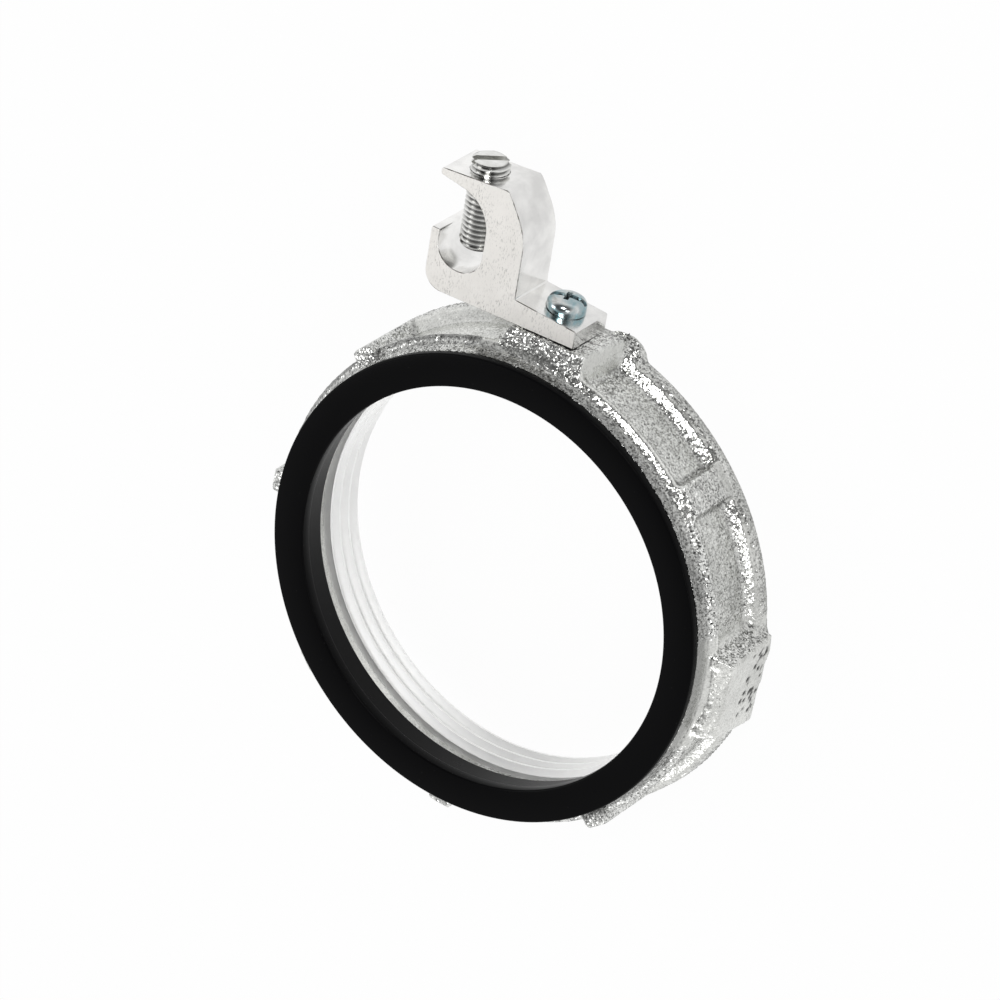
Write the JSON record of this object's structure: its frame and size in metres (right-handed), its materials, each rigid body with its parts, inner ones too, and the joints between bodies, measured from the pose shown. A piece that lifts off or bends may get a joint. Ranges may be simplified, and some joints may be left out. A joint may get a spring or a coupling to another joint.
{
  "type": "insulated grounding bushing",
  "caption": "Threaded cast ring with a black insulating throat and a lay-in lug on a side pad, for bonding the end of a metal conduit to an earth wire.",
  "frame": {"origin": "on the bore axis at the threaded end face", "axes": "+Z along the bore axis towards the insulated throat, +Y towards the pad that carries the lug, +X to the right seen from the front with the lug up"},
  "size_m": [0.1068, 0.1347, 0.0216],
  "materials": {
    "zinc_plated_iron": "zinc plated over a sand-cast skin",
    "black_thermoplastic": "moulded, satin",
    "lug_aluminium": "extruded, sawn faces",
    "bright_screw": "bright zinc plate",
    "blue_zinc_screw": "clear-blue zinc plate"
  },
  "bodies": {
    "bushing": {"bushing_body": "zinc_plated_iron", "insulating_liner": "black_thermoplastic", "lay_in_lug": "lug_aluminium", "mounting_screw": "blue_zinc_screw"},
    "binding_screw": {"binding_screw": "bright_screw"}
  },
  "joints": [
    {"name": "binding_screw_advance", "type": "slide", "parent": "bushing", "child": "binding_screw", "axis": [0, 1, 0], "range_m": [-0.0024, 0.011]}
  ]
}
